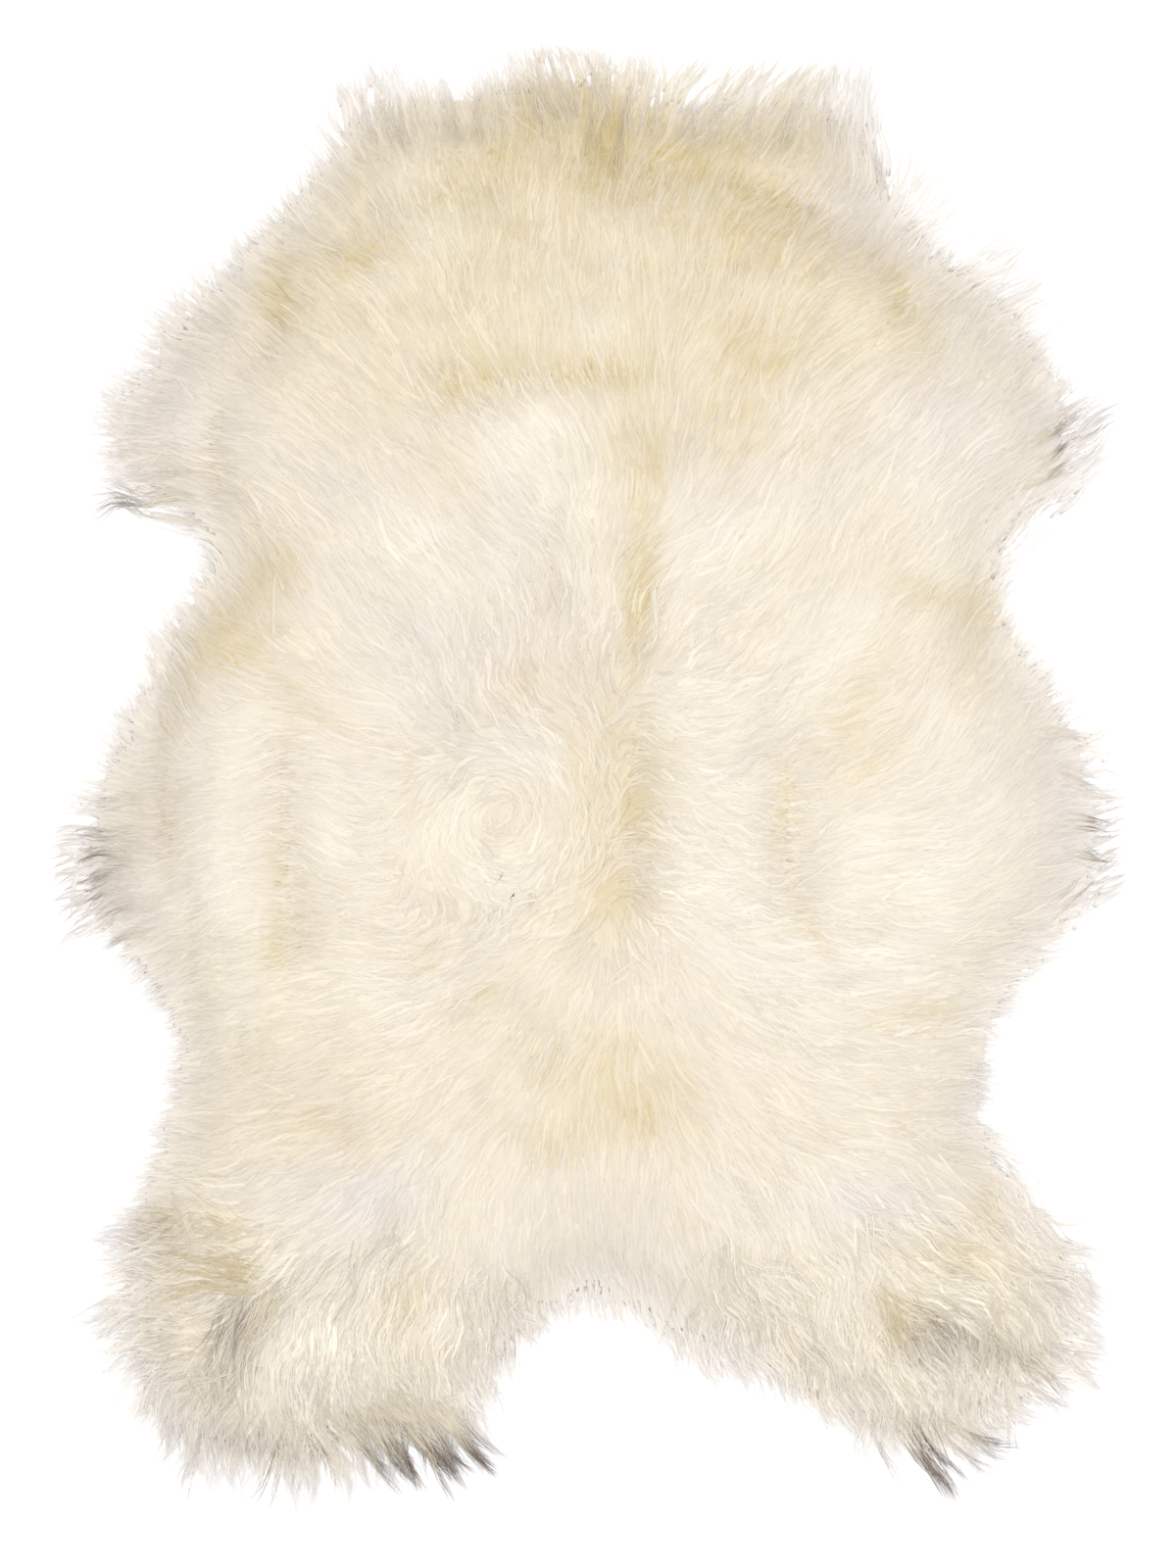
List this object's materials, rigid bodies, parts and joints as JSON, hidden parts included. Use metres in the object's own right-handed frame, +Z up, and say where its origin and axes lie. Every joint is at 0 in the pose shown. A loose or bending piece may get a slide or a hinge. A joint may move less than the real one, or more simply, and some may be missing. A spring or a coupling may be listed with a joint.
{
  "type": "sheepskin rug",
  "caption": "Long-woolled sheepskin rug in the outline of a whole pelt, laid flat on a floor, wool side up.",
  "frame": {"origin": "on the floor, below the middle of the rug's box", "axes": "+Z up, +Y towards the neck, +X towards the right-hand legs as seen from above with the neck away"},
  "size_m": [0.8562, 1.2082, 0.0546],
  "materials": {
    "wool": "natural cream long wool, soft sheen",
    "hide": "tanned suede, matt"
  },
  "bodies": {
    "root": {"fleece": "wool", "hide": "hide"}
  },
  "joints": []
}
